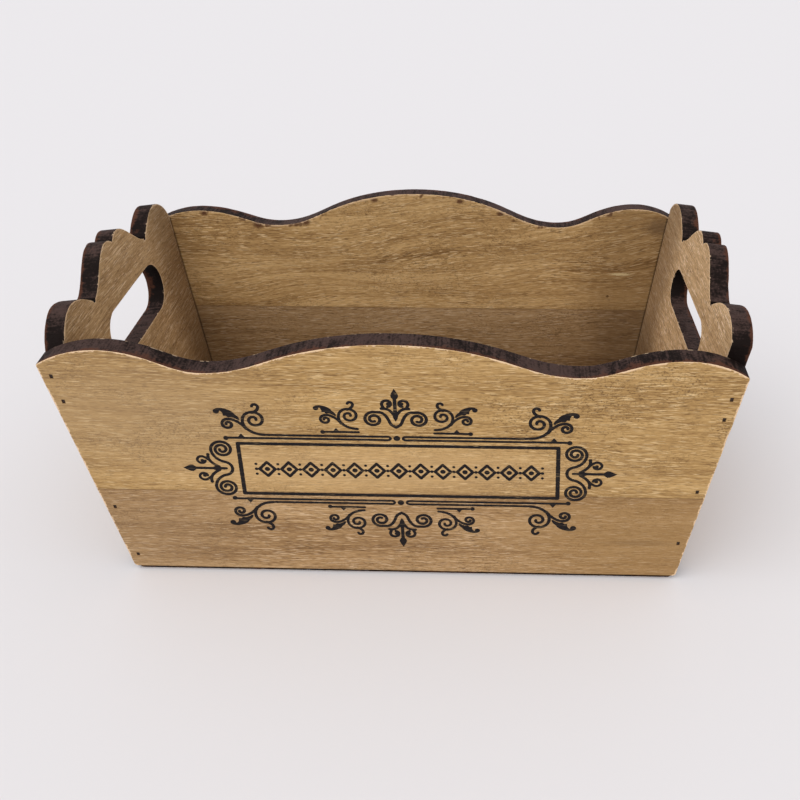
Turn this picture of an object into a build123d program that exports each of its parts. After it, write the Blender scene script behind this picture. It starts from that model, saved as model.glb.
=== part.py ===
from build123d import *
import os
from math import atan2, cos, radians, tan

# A four-sided garden basket of scalloped boards, wider at the top than at the foot.
# Origin: middle of the underside. X along the length, Y from front to back, Z up.
# All lengths are in millimetres and all angles in degrees.

# Overall form, measured on the outer faces. Heights run up along each sloping face.
top_length = 360
bottom_length = 328
bottom_depth = 184
corner_height = 146
face_splay = 3
board_thickness = 11
base_thickness = 3
base_inset = 1.5
base_corner_radius = 3
corner_round = 1.8
cutting_overrun = 8

# Scalloped top of the front and back: a wide middle crest and a lobe near each corner.
# The four lobes were cut by hand and differ, and the front's left corner stands higher.
front_crest_rise = 17.5
back_crest_rise = 21.5
trough_drop = 1
front_left_lobe_rise = 12.2
front_right_lobe_rise = 9.9
back_left_lobe_rise = 8.8
back_right_lobe_rise = 12.3
front_left_corner_lift = 2.8
trough_share = 0.533
lobe_share = 0.822
crest_flank_share = 0.6
lobe_flank_share = 0.45

# Each long side is edge-glued from two boards.
front_lower_width = 63.5
back_lower_width = 84

# Scalloped top of the ends: two high middle lobes and one lower lobe at each corner.
# The shares are of half the end's width at the corner height, where the sides cut it off.
# The left end was cut a little lower than the right one, with narrower corner lobes, and its
# lobe beside the front is the smallest.
left_end_drop = 2.2
cusp_rise = 27.5
middle_lobe_rise = 31
middle_flank_rise = 21
notch_rise = 10
notch_radius = 1.6
outer_flank_rise = 17
end_lobe_rise = 22.5
shoulder_rise = 18
end_corner_rise = 5
middle_lobe_share = 0.104
middle_flank_share = 0.301
notch_share = 0.478
outer_flank_share = 0.587
end_lobe_share = 0.779
left_shoulder_share = 0.915
left_corner_share = 1.01
left_near_lobe_share = 0.762
left_near_lobe_rise = 21.2
left_near_shoulder_share = 0.9
left_near_shoulder_rise = 15.4
left_near_corner_share = 1.006
left_near_corner_rise = 1.6
right_shoulder_share = 0.95
right_corner_share = 1.038

# Hand holes, one slot in each end. The two were cut by hand and differ.
hole_cover = 14
left_hole_length = 87
left_hole_height = 30
left_hole_shift = 3
right_hole_length = 84
right_hole_height = 23
right_hole_shift = -2

# Brads: flat steel wire with a small head, driven a little below the wood.
brad_head_width = 1.5
brad_head_depth = 2.3
brad_head_thickness = 0.8
brad_shank_width = 1
brad_shank_depth = 1.3
wall_brad_length = 25
base_brad_length = 16
wall_brad_sink = 0.4
base_brad_sink = 0.3
left_brad_shares = (0.07, 0.34, 0.86, 0.97)
right_brad_shares = (0.19, 0.47, 0.82, 0.91)
long_base_brad_count = 5
short_base_brad_count = 3
long_base_row_share = 0.84
short_base_row_share = 0.66

# Sizes that follow from the ones above.
half_top = top_length / 2
half_bottom = bottom_length / 2
half_depth = bottom_depth / 2
wall_middle = board_thickness / 2
splay = radians(face_splay)
half_end_width = half_depth - board_thickness / cos(splay) + corner_height * tan(splay)
side_run = half_top - half_bottom
end_splay = atan2(side_run, corner_height * cos(splay))
trough_height = corner_height - trough_drop

# Outer faces, each with its origin in the middle of its foot and its local Y up the slope.
front_face = Plane((0, -half_depth, base_thickness), (1, 0, 0), (0, -1, -tan(splay)))
back_face = Plane((0, half_depth, base_thickness), (-1, 0, 0), (0, 1, -tan(splay)))
left_face = Plane((-half_bottom, 0, base_thickness), (0, -1, 0), (-1, 0, -tan(end_splay)))
right_face = Plane((half_bottom, 0, base_thickness), (0, 1, 0), (1, 0, -tan(end_splay)))
foot_plane = Plane.XY.offset(base_thickness)
underside = Plane((0, 0, 0), (1, 0, 0), (0, 0, -1))


def side_edge(height):
    """Half width of a long side at a height up its face."""
    return half_bottom + side_run * height / corner_height


def draw_long_side(crest_rise, left_lobe_rise, right_lobe_rise, left_corner_lift=0):
    """Full outline of a long side on its outer face, from below the foot to the scallops."""
    crest = (0, corner_height + crest_rise)
    foot = (0, -cutting_overrun)
    halves = ((-1, left_lobe_rise, left_corner_lift), (1, right_lobe_rise, 0))
    with BuildLine() as outline:
        for way, lobe_rise, corner_lift in halves:
            level = (way, 0)
            lobe_height = corner_height + lobe_rise
            tip_height = corner_height + corner_lift
            trough_x = way * trough_share * half_top
            lobe_x = way * lobe_share * half_top
            crest_flank = (crest_flank_share * trough_x, (crest[1] + trough_height) / 2)
            lobe_flank_x = trough_x + lobe_flank_share * (lobe_x - trough_x)
            lobe_flank = (lobe_flank_x, (trough_height + lobe_height) / 2)
            trough = (trough_x, trough_height)
            lobe = (lobe_x, lobe_height)
            tip = (way * side_edge(tip_height), tip_height)
            Spline(crest, crest_flank, trough, tangents=(level, level))
            Spline(trough, lobe_flank, lobe, tangents=(level, level))
            TangentArc(lobe, tip, tangent=level)
            Polyline(tip, (way * side_edge(-cutting_overrun), -cutting_overrun), foot)
    return make_face(outline.edges())


def draw_end(hole_length, hole_height, hole_shift, corner_lobes, drop=0):
    """Outline of an end on its outer face with its hand hole, wide enough to be cut to the sides."""
    cut_height = corner_height - drop
    cusp = (0, cut_height + cusp_rise)
    notch_height = cut_height + notch_rise
    notch_shoulder = notch_height + notch_radius
    with BuildLine() as outline:
        for way, corner_lobe in zip((-1, 1), corner_lobes):
            reach = way * half_end_width
            middle_lobe = (middle_lobe_share * reach, cut_height + middle_lobe_rise)
            middle_flank = (middle_flank_share * reach, cut_height + middle_flank_rise)
            notch_x = notch_share * reach
            notch_inside = (notch_x - way * notch_radius, notch_shoulder)
            notch_outside = (notch_x + way * notch_radius, notch_shoulder)
            outer_flank = (outer_flank_share * reach, cut_height + outer_flank_rise)
            lobe, shoulder, corner = [(share * reach, cut_height + rise) for share, rise in corner_lobe]
            Spline(cusp, middle_lobe, middle_flank, notch_inside)
            ThreePointArc(notch_inside, (notch_x, notch_height), notch_outside)
            Spline(notch_outside, outer_flank, lobe, shoulder, corner)
            Polyline(corner, (way * half_depth, -cutting_overrun), (0, -cutting_overrun))
    make_face(outline.edges())
    with Locations((hole_shift, notch_height - hole_cover - hole_height / 2)):
        SlotOverall(hole_length, hole_height, mode=Mode.SUBTRACT)


def drive_brads(face, places, sink, length, mode):
    """Brads pushed in square to a face at places on it, as solids or as the pockets they fill."""
    top = face if mode == Mode.SUBTRACT else face.offset(-sink)
    neck = sink + brad_head_thickness
    head_reach = neck if mode == Mode.SUBTRACT else brad_head_thickness
    with BuildSketch(top) as heads:
        with Locations(*places):
            Rectangle(brad_head_width, brad_head_depth)
    extrude(heads.sketch, amount=-head_reach, mode=mode)
    with BuildSketch(face.offset(-neck)) as shanks:
        with Locations(*places):
            Rectangle(brad_shank_width, brad_shank_depth)
    extrude(shanks.sketch, amount=brad_head_thickness - length, mode=mode)


def wall_brad_places(side, shares):
    """Places down one side edge of a long side, over the middle of the end board behind it."""
    heights = [share * corner_height for share in shares]
    return [(side * (side_edge(height) - wall_middle), height) for height in heights]


def base_brad_row(count, span, distance, along_x):
    """Places of one row of brads on the underside, evenly spaced over a span."""
    step = span / (count - 1)
    row = [(index * step - span / 2, distance) for index in range(count)]
    return row if along_x else [(y, x) for x, y in row]


# On the back, local X runs the other way, so its left row has a positive X.
front_left_places = wall_brad_places(-1, left_brad_shares)
front_right_places = wall_brad_places(1, right_brad_shares)
back_left_places = wall_brad_places(1, right_brad_shares)
back_right_places = wall_brad_places(-1, left_brad_shares)

long_row_offset = half_depth - wall_middle
short_row_offset = half_bottom - wall_middle
long_row_span = long_base_row_share * bottom_length
short_row_span = short_base_row_share * bottom_depth
base_brads = {
    "front": base_brad_row(long_base_brad_count, long_row_span, long_row_offset, True),
    "back": base_brad_row(long_base_brad_count, long_row_span, -long_row_offset, True),
    "left": base_brad_row(short_base_brad_count, short_row_span, -short_row_offset, False),
    "right": base_brad_row(short_base_brad_count, short_row_span, short_row_offset, False),
}


def cut_wall_pockets(face, places):
    drive_brads(face, places, wall_brad_sink, wall_brad_length, Mode.SUBTRACT)


def cut_base_pockets(side):
    drive_brads(underside, base_brads[side], base_brad_sink, base_brad_length, Mode.SUBTRACT)


def glue_plane(face, height):
    """Plane square to a face at a height up it, looking up the slope."""
    return Plane(face.from_local_coords((0, height, 0)), face.x_dir, face.y_dir)


os.makedirs("parts", exist_ok=True)

# Front: a narrow lower board and a wide upper board that carries the scallops.
front_cut = (front_crest_rise, front_left_lobe_rise, front_right_lobe_rise, front_left_corner_lift)
with BuildPart() as front_lower_board:
    with BuildSketch(front_face):
        draw_long_side(*front_cut)
    extrude(amount=-board_thickness)
    split(bisect_by=glue_plane(front_face, front_lower_width), keep=Keep.BOTTOM)
    split(bisect_by=foot_plane, keep=Keep.TOP)
    foot_edges = front_lower_board.edges().group_by(Axis.Z)[0].sort_by(Axis.X)
    fillet([foot_edges[0], foot_edges[-1]], corner_round)
    cut_wall_pockets(front_face, front_left_places)
    cut_wall_pockets(front_face, front_right_places)
    cut_base_pockets("front")

with BuildPart() as front_upper_board:
    with BuildSketch(front_face):
        outline = draw_long_side(*front_cut)
        tips = outline.vertices().sort_by(Axis.X)
        fillet([tips[0], tips[-1]], corner_round)
    extrude(amount=-board_thickness)
    split(bisect_by=glue_plane(front_face, front_lower_width), keep=Keep.TOP)
    cut_wall_pockets(front_face, front_left_places)
    cut_wall_pockets(front_face, front_right_places)

# Back: the same two boards, with a higher middle crest and the glue line further up.
# Its local X runs from right to left.
back_cut = (back_crest_rise, back_right_lobe_rise, back_left_lobe_rise)
with BuildPart() as back_lower_board:
    with BuildSketch(back_face):
        draw_long_side(*back_cut)
    extrude(amount=-board_thickness)
    split(bisect_by=glue_plane(back_face, back_lower_width), keep=Keep.BOTTOM)
    split(bisect_by=foot_plane, keep=Keep.TOP)
    foot_edges = back_lower_board.edges().group_by(Axis.Z)[0].sort_by(Axis.X)
    fillet([foot_edges[0], foot_edges[-1]], corner_round)
    cut_wall_pockets(back_face, back_left_places)
    cut_wall_pockets(back_face, back_right_places)
    cut_base_pockets("back")

with BuildPart() as back_upper_board:
    with BuildSketch(back_face):
        outline = draw_long_side(*back_cut)
        tips = outline.vertices().sort_by(Axis.X)
        fillet([tips[0], tips[-1]], corner_round)
    extrude(amount=-board_thickness)
    split(bisect_by=glue_plane(back_face, back_lower_width), keep=Keep.TOP)
    cut_wall_pockets(back_face, back_left_places)
    cut_wall_pockets(back_face, back_right_places)

# Ends: one board each, fitted between the inner faces of the front and back.
# Each corner lobe has its top, its shoulder and its corner, as a share of the width and a rise.
left_near_lobe = (
    (left_near_lobe_share, left_near_lobe_rise),
    (left_near_shoulder_share, left_near_shoulder_rise),
    (left_near_corner_share, left_near_corner_rise),
)
left_far_lobe = (
    (end_lobe_share, end_lobe_rise),
    (left_shoulder_share, shoulder_rise),
    (left_corner_share, end_corner_rise),
)
right_lobe = (
    (end_lobe_share, end_lobe_rise),
    (right_shoulder_share, shoulder_rise),
    (right_corner_share, end_corner_rise),
)
with BuildPart() as left_end_board:
    with BuildSketch(left_face):
        left_lobes = (left_far_lobe, left_near_lobe)
        draw_end(left_hole_length, left_hole_height, -left_hole_shift, left_lobes, left_end_drop)
    extrude(amount=-board_thickness)
    split(bisect_by=front_face.offset(-board_thickness), keep=Keep.BOTTOM)
    split(bisect_by=back_face.offset(-board_thickness), keep=Keep.BOTTOM)
    split(bisect_by=foot_plane, keep=Keep.TOP)
    cut_wall_pockets(front_face, front_left_places)
    cut_wall_pockets(back_face, back_left_places)
    cut_base_pockets("left")

with BuildPart() as right_end_board:
    with BuildSketch(right_face):
        right_lobes = (right_lobe, right_lobe)
        draw_end(right_hole_length, right_hole_height, right_hole_shift, right_lobes)
    extrude(amount=-board_thickness)
    split(bisect_by=front_face.offset(-board_thickness), keep=Keep.BOTTOM)
    split(bisect_by=back_face.offset(-board_thickness), keep=Keep.BOTTOM)
    split(bisect_by=foot_plane, keep=Keep.TOP)
    cut_wall_pockets(front_face, front_right_places)
    cut_wall_pockets(back_face, back_right_places)
    cut_base_pockets("right")

# Base: a thin board under the walls, set in a little from their outer faces.
with BuildPart() as base_board:
    with BuildSketch():
        RectangleRounded(
            bottom_length - base_inset - base_inset,
            bottom_depth - base_inset - base_inset,
            base_corner_radius,
        )
    extrude(amount=base_thickness)
    for side in base_brads:
        cut_base_pockets(side)

pieces = {
    "front_lower_board": front_lower_board,
    "front_upper_board": front_upper_board,
    "back_lower_board": back_lower_board,
    "back_upper_board": back_upper_board,
    "left_end_board": left_end_board,
    "right_end_board": right_end_board,
    "base_board": base_board,
}

# Brads that pin the long sides to the ends, one group at each corner.
corner_rows = {
    "front_left_brads": (front_face, front_left_places),
    "front_right_brads": (front_face, front_right_places),
    "back_left_brads": (back_face, back_left_places),
    "back_right_brads": (back_face, back_right_places),
}
for name, (face, places) in corner_rows.items():
    with BuildPart() as corner_brads:
        drive_brads(face, places, wall_brad_sink, wall_brad_length, Mode.ADD)
    pieces[name] = corner_brads

# Brads that hold the base up against the feet of the walls, one group along each side.
for side, places in base_brads.items():
    with BuildPart() as side_brads:
        drive_brads(underside, places, base_brad_sink, base_brad_length, Mode.ADD)
    pieces[f"base_{side}_brads"] = side_brads

for name, piece in pieces.items():
    piece.part.label = name
    export_step(piece.part, f"parts/{name}.step")
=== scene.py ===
from math import cos, exp, pi, radians, sin

import bpy
import numpy as np
from bpy.props import FloatProperty, FloatVectorProperty, PointerProperty
from bpy.types import NodeSocket, Operator, Panel, PropertyGroup
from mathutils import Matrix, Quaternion, Vector, noise
from mathutils.geometry import delaunay_2d_cdt


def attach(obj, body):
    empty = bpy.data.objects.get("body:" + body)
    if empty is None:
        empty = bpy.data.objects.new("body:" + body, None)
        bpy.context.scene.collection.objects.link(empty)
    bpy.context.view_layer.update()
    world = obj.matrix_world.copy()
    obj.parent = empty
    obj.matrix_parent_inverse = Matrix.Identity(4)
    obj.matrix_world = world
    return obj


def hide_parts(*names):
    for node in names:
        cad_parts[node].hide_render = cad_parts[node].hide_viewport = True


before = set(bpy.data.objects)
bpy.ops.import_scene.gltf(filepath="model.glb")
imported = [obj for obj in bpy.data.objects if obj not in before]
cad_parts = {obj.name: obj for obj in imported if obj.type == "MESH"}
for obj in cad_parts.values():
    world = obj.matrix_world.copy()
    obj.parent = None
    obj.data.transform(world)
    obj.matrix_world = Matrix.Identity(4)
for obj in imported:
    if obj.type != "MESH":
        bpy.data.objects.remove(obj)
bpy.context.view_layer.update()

bl_info = {
    "name": "Scalloped garden basket",
    "version": (1, 0, 0),
    "blender": (4, 5, 0),
    "location": "3D View > Sidebar > Basket",
    "description": "Dresses the boards, brads and printed ornament of a wooden garden basket",
    "category": "Object",
}

MM = 0.001
FRONT = Vector((0, -1, 0))
BACK = Vector((0, 1, 0))
LEFT = Vector((-1, 0, 0))
RIGHT = Vector((1, 0, 0))
DOWN = Vector((0, 0, -1))
LONG_SIDES = (("front_lower_board", FRONT), ("back_lower_board", BACK))
ENDS = (("left_end_board", LEFT), ("right_end_board", RIGHT))


# Settings that a user would change

def length(name, text, millimetres):
    default = millimetres * MM
    return FloatProperty(name=name, description=text, default=default, unit="LENGTH", precision=5)


def colour(name, text, default):
    return FloatVectorProperty(
        name=name, description=text, default=default, size=3, min=0, max=1, subtype="COLOR")


def point(name, text, default):
    return FloatVectorProperty(
        name=name, description=text, default=default, size=3, subtype="XYZ", unit="LENGTH")


class BoardSettings(PropertyGroup):
    outline_step: length("Outline step", "Distance between points along a cut edge", 1.1)
    grid_step: length("Grid step", "Distance between points in the middle of a face", 7)
    arris_radius: length("Arris radius", "How far the arris of a sawn edge is worn round", 0.38)
    joint_relief: length("Joint relief", "Tiny arris where two boards meet", 0.03)
    saw_wobble: length("Saw wobble", "How far a hand-guided saw cut wanders into the board", 0.16)
    nick_depth: length("Nick depth", "Extra wear where the arris is chipped", 0.45)


class WoodSettings(PropertyGroup):
    light: colour("Light wood", "Colour of the light bands of the wood", (0.60, 0.385, 0.16))
    middle: colour("Middle wood", "Colour of most of the wood", (0.443, 0.268, 0.102))
    dark: colour("Dark wood", "Colour of the dark bands of the wood", (0.25, 0.138, 0.05))
    pore: colour("Pores", "Colour of the open pores and the dirt in them", (0.10, 0.052, 0.022))
    fleck: colour("Flecks", "Colour of the pale brushed fibres", (0.78, 0.56, 0.29))
    char: colour("Char", "Colour of the scorched edges", (0.0078, 0.0043, 0.0034))
    singe: colour("Singed wood", "Red brown of the less burnt outer side of an edge", (0.088, 0.032, 0.017))
    # Grey of the ashes on a cut, also used for painted light on its upward-facing side
    ash_and_lit_top: colour("Ash", "Grey brown of the dusty upper side of an edge", (0.064, 0.038, 0.032))
    # Pale arris line: rubbed bare wood with a painted highlight; also the colour of bare chips
    rim: colour("Rubbed and highlighted arris", "Pale line along the arris of a face, rubbed bare and with a painted highlight", (0.88, 0.63, 0.40))


class BradSettings(PropertyGroup):
    steel: colour("Steel", "Colour of the dull steel wire", (0.03, 0.022, 0.017))
    rust: colour("Rust", "Colour of the rust spots on the heads", (0.05, 0.02, 0.009))


class OrnamentSettings(PropertyGroup):
    centre_along: length("Centre along", "Middle of the print from the middle of the front", 1.35)
    centre_up: length("Centre up", "Middle of the print above the foot, up the slope", 81.2)
    taper: FloatProperty(
        name="Taper", description="How much narrower the print gets for each millimetre up",
        default=0.00054, precision=5)
    thickness: length("Ink thickness", "How far the ink stands proud of the wood", 0.06)
    sink: length("Ink sink", "How far the ink soaks into the wood", 0.04)
    bar_width: length("Bar width", "Width of the rectangle's bars", 2.1)
    rule_width: length("Rule width", "Width of the double rules", 1.5)
    scroll_width: length("Scroll width", "Width of the scroll strokes", 1.8)
    ink: colour("Ink", "Colour of the printing ink", (0.0135, 0.0110, 0.0118))


class StageSettings(PropertyGroup):
    camera_place: point("Camera place", "Where the camera stands", (0.04672, -0.4658, 0.38276))
    camera_target: point("Camera target", "Point that the camera's axis meets", (0.03179, 0, 0.06248))
    camera_roll: FloatProperty(
        name="Camera roll", description="Turn of the camera about its axis", default=radians(-0.216),
        subtype="ANGLE")
    lens: FloatProperty(
        name="Lens", description="Focal length", default=38.94, min=1, subtype="DISTANCE_CAMERA",
        unit="CAMERA")
    paper: colour("Floor", "Colour of the paper that the basket stands on", (0.725, 0.704, 0.708))
    backdrop: colour("Backdrop", "Colour that the camera sees behind the floor", (0.787, 0.752, 0.762))
    room: colour("Room light", "Colour of the soft light from all round", (0.655, 0.66, 0.685))


# Boards: outlines read from the frame, and closed meshes with fine edges

FACING = 0.9
SLIVER_SHARE = 0.2
LEVEL_GAP = 4e-6


class Plate:
    """A flat board of the frame: the plane of its outer face, its outlines and its thickness."""

    def __init__(self, node, outward):
        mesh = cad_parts[node].data
        mesh.calc_loop_triangles()
        points = np.array([v.co for v in mesh.vertices])
        self.points, same = np.unique(np.round(points, 6), axis=0, return_inverse=True)
        self.triangles = same.reshape(-1)[np.array([t.vertices for t in mesh.loop_triangles])]
        self.normal = self.face_normal(np.array(outward))
        lying = abs(self.normal[2]) > FACING
        reference = np.array((0.0, 1.0, 0.0)) if lying else np.array((0.0, 0.0, 1.0))
        self.up = reference - self.normal * (reference @ self.normal)
        self.up /= np.linalg.norm(self.up)
        self.along = np.cross(self.up, self.normal)
        self.level = (self.points @ self.normal).max()
        self.thickness = self.level - (self.points @ self.normal).min()
        self.foot = (self.points @ self.up).min()
        self.outer_loops = self.loops(self.normal, self.level)
        self.inner_loops = self.loops(-self.normal, self.thickness - self.level)

    def face_normal(self, outward):
        a, b, c = (self.points[self.triangles[:, k]] for k in range(3))
        normals = np.cross(b - a, c - a)
        areas = np.linalg.norm(normals, axis=1)
        facing = (normals @ outward > FACING * areas) & (areas > 0)
        total = normals[facing & (areas > SLIVER_SHARE * areas[facing].max())].sum(0)
        return total / np.linalg.norm(total)

    def loops(self, normal, level):
        """Outlines of the flat face at that level, longest first, as (along, up) points in order."""
        near = np.abs(self.points @ normal - level) < LEVEL_GAP
        flat = self.triangles[near[self.triangles].all(1)]
        edges = {(t[k], t[(k + 1) % 3]) for t in flat for k in range(3)}
        next_of = {a: b for a, b in edges if (b, a) not in edges}
        found = []
        while next_of:
            start, here = next_of.popitem()
            ring = [start]
            while here != start:
                ring.append(here)
                here = next_of.pop(here)
            found.append(self.flat(self.points[ring]))
        return sorted(found, key=lambda ring: -around(ring))

    def flat(self, points):
        return np.stack([points @ self.along, points @ self.up - self.foot], 1)

    def place(self, flat_points, depth):
        """Points in space from (along, up) points and their depth below the outer face."""
        flat_points = np.asarray(flat_points)
        depth = np.broadcast_to(depth, len(flat_points))[:, None]
        return (
            flat_points[:, :1] * self.along
            + (flat_points[:, 1:] + self.foot) * self.up
            + (self.level - depth) * self.normal
        )


def around(ring):
    """Length of the way round a ring of points."""
    return np.linalg.norm(ring - np.roll(ring, 1, 0), axis=1).sum()


def smooth_pieces(points, arriving, leaving, spans, step):
    """Points about a step apart on smooth pieces from each point to the next, and the piece of each.

    arriving and leaving are the ways in which the curve comes to each point and goes on from it.
    """
    found, pieces = [], []
    for i, span in enumerate(spans):
        j = (i + 1) % len(points)
        start, end = leaving[i] * span, arriving[j] * span
        count = max(1, round(span / step))
        for k in range(count):
            t = k / count
            a, b = 2 * t**3 - 3 * t**2 + 1, t**3 - 2 * t**2 + t
            found.append(a * points[i] + b * start + (1 - a) * points[j] + (t**3 - t**2) * end)
        pieces += [i] * count
    return found, pieces


STRAIGHT = 20 * MM
CORNER_TURN = radians(25)
LEVEL_RISE = 0.2
CHUNK = 2000
TINY = 1e-18
FAR = 1.0


def smooth_loop(ring, step, sides_up_to):
    """The ring rounded and divided, and for each point whether it starts a line along another board."""
    count = len(ring)
    forward = np.roll(ring, -1, 0) - ring
    spans = np.linalg.norm(forward, axis=1)
    ways = forward / spans[:, None]
    before = np.roll(ways, 1, 0)
    tangents = []
    for i in range(count):
        turn = abs(np.arctan2(before[i][0] * ways[i][1] - before[i][1] * ways[i][0], before[i] @ ways[i]))
        if turn > CORNER_TURN:
            tangents.append((before[i], ways[i]))
        elif spans[i] > STRAIGHT:
            tangents.append((ways[i], ways[i]))
        elif spans[i - 1] > STRAIGHT:
            tangents.append((before[i], before[i]))
        else:
            mean = before[i] * spans[i] + ways[i] * spans[i - 1]
            tangents.append((mean / np.linalg.norm(mean),) * 2)
    points, pieces = smooth_pieces(ring, *zip(*tangents), spans, step)
    points = np.array(points)
    straight = spans[pieces] > STRAIGHT
    level = straight & (np.abs(ways[pieces, 1]) < LEVEL_RISE)
    return points, level | straight & (points[:, 1] < sides_up_to)


def distances(points, pairs):
    """Distance of each point to the segments of the (starts, ends) pairs, or far where there are none."""
    if not sum(len(starts) for starts, ends in pairs):
        return np.full(len(points), FAR)
    a, b = (np.concatenate(side) for side in zip(*pairs))
    nearest = np.empty(len(points))
    ways = b - a
    squares = np.maximum((ways**2).sum(1), TINY)
    for start in range(0, len(points), CHUNK):
        part = points[start : start + CHUNK, None]
        t = np.clip(((part - a) * ways).sum(2) / squares, 0, 1)
        gap = np.linalg.norm(part - a - t[..., None] * ways, axis=2)
        nearest[start : start + CHUNK] = gap.min(1)
    return nearest


def inside(points, ring):
    """Whether each point lies in the ring."""
    x, y = points[:, :1], points[:, 1:]
    a, b = ring, np.roll(ring, -1, 0)
    crosses = (a[:, 1] > y) != (b[:, 1] > y)
    rise = np.where(a[:, 1] == b[:, 1], 1.0, b[:, 1] - a[:, 1])
    return (crosses & (x < (b[:, 0] - a[:, 0]) * (y - a[:, 1]) / rise + a[:, 0])).sum(1) % 2 == 1


def spread(values, gaps, slope, stops):
    """The values held down so that they rise by no more than the slope along each gap without a stop."""
    values = values.copy()
    count = len(values)
    for k in list(range(count)) * 2:
        if not stops[k]:
            values[(k + 1) % count] = min(values[(k + 1) % count], values[k] + slope * gaps[k])
    for k in list(range(count))[::-1] * 2:
        if not stops[k]:
            values[k] = min(values[k], values[(k + 1) % count] + slope * gaps[k])
    return values


# Wear along an edge: the lengths over which it changes, its shares of the settings, and its seeds
CHIP_LENGTH = 9 * MM
WEAR_LENGTH = 3 * MM
WANDER_LENGTH = 26 * MM
TREMOR_LENGTH = 5 * MM
FADE_LENGTH = 6 * MM
CHIP_SHARE = 0.72
WEAR_LEAST = 0.75
WEAR_MORE = 0.5
TREMOR_SHARE = 0.6
WEAR_SLOPE = 0.35
LEAST_SLIDE = 1e-9
CHIP_SEED, WEAR_SEED, WANDER_SEED, TREMOR_SEED = 0, 7, 3, 5
NOISE_GAIN = 0.75
SEED_STRIDE = 3.7


class Edge:
    """One closed edge of a board: its points, the way into the wood at each, and its worn arris."""

    def __init__(self, ring, settings, seed, joined, sides_up_to, mouth):
        self.points, level = smooth_loop(ring, settings.outline_step, sides_up_to)
        self.mouth = mouth
        joint = level & joined
        joint_before = np.roll(joint, 1)
        forward = np.roll(self.points, -1, 0) - self.points
        gaps = np.linalg.norm(forward, axis=1)
        ways = forward / gaps[:, None]
        before = np.roll(ways, 1, 0)
        sharp = (before * ways).sum(1) < cos(CORNER_TURN)
        into = np.stack([-ways[:, 1], ways[:, 0]], 1)
        mitre = into + np.roll(into, 1, 0)
        self.into = 2 * mitre / (mitre**2).sum(1)[:, None]
        corners = sharp & (joint != joint_before)
        for i in np.flatnonzero(corners):
            slide = ways[i] if joint[i] else -before[i]
            across = into[i - 1] if joint[i] else into[i]
            self.into[i] = slide / (slide @ across)
        self.open = corners | ~(joint | joint_before)
        self.segment_open = ~joint
        if mouth:
            self.radius = np.full(len(self.points), settings.joint_relief)
            return
        chip = self.random(seed + CHIP_SEED, CHIP_LENGTH) ** 2
        rubbed = self.random(seed + WEAR_SEED, WEAR_LENGTH)
        worn = settings.arris_radius * (WEAR_LEAST + WEAR_MORE * rubbed)
        worn += settings.nick_depth * np.maximum(chip - CHIP_SHARE, 0) / (1 - CHIP_SHARE)
        ahead = np.maximum((self.into * ways).sum(1), LEAST_SLIDE)
        behind = np.maximum(-(self.into * before).sum(1), LEAST_SLIDE)
        worn = np.minimum(worn, 0.5 * np.minimum(gaps / ahead, np.roll(gaps, 1) / behind))
        self.radius = spread(np.where(self.open, worn, settings.joint_relief), gaps, WEAR_SLOPE, joint)
        wander = self.random(seed + WANDER_SEED, WANDER_LENGTH)
        tremor = self.random(seed + TREMOR_SEED, TREMOR_LENGTH)
        wobble = settings.saw_wobble * (wander + TREMOR_SHARE * tremor) / (1 + TREMOR_SHARE)
        fade = spread(np.where(self.open & ~sharp, 1.0, 0.0), gaps, 1 / FADE_LENGTH, joint)
        self.points = self.points + self.into * (wobble * fade)[:, None]

    def random(self, seed, size):
        """A smooth value from 0 to 1 at each point, changing over about that size."""
        values = [
            0.5 + NOISE_GAIN * noise.noise(Vector((x / size, y / size, seed * SEED_STRIDE)))
            for x, y in self.points
        ]
        return np.clip(values, 0, 1)

    def inset(self, distance):
        return self.points + self.into * np.reshape(distance, (-1, 1))

    def segments(self, chosen=slice(None)):
        """Starts and ends of the chosen pieces of the edge."""
        return self.points[chosen], np.roll(self.points, -1, 0)[chosen]


MOUTH_LIMIT = 12 * MM
HOLE_SEEDS = 11


def board_edges(plate, settings, seed, joined, sides_up_to):
    """The outline of a board, then its hand hole or the mouths of the pockets of its brads."""
    edges = []
    for index, ring in enumerate(plate.outer_loops):
        joins = joined and index == 0
        mouth = around(ring) < MOUTH_LIMIT
        edges.append(Edge(ring, settings, seed + HOLE_SEEDS * index, joins, sides_up_to, mouth))
    return edges


RING_DEPTHS = (0.9 * MM, 1.9 * MM, 3.6 * MM)
RING_SPACING = 0.8
MOUTH_RINGS = (0.4 * MM, 1.1 * MM, 2.2 * MM)
GRID_CLEARANCE = 0.35
GRID_SWAY = 0.25
GRID_WAVES = 900
SAME_POINT = 1e-9


def face_points(edges, settings, seed):
    """Points inside a face: rings along its edges, and an uneven grid in the middle."""
    through = [e for e in edges if not e.mouth]
    outline = through[0].points
    every = [e.segments() for e in edges]
    found = [e.inset(depth) for e in edges if e.mouth for depth in MOUTH_RINGS]
    for depth in RING_DEPTHS:
        skip = max(1, round(RING_SPACING * depth / settings.outline_step))
        ring = np.concatenate([e.inset(depth)[::skip] for e in through])
        found.append(ring[distances(ring, every) > RING_SPACING * depth])
    low, high = outline.min(0), outline.max(0)
    columns, rows = (np.arange(low[k], high[k], settings.grid_step) for k in range(2))
    grid = np.stack([values.ravel() for values in np.meshgrid(columns, rows)], 1)
    grid = grid + settings.grid_step * GRID_SWAY * np.sin(grid[:, ::-1] * GRID_WAVES + seed)
    clear = distances(grid, every) > RING_DEPTHS[-1] + GRID_CLEARANCE * settings.grid_step
    found = np.concatenate([*found, grid[clear]])
    found = found[inside(found, outline)]
    for hole in edges[1:]:
        found = found[~inside(found, hole.points)]
    return found


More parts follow.
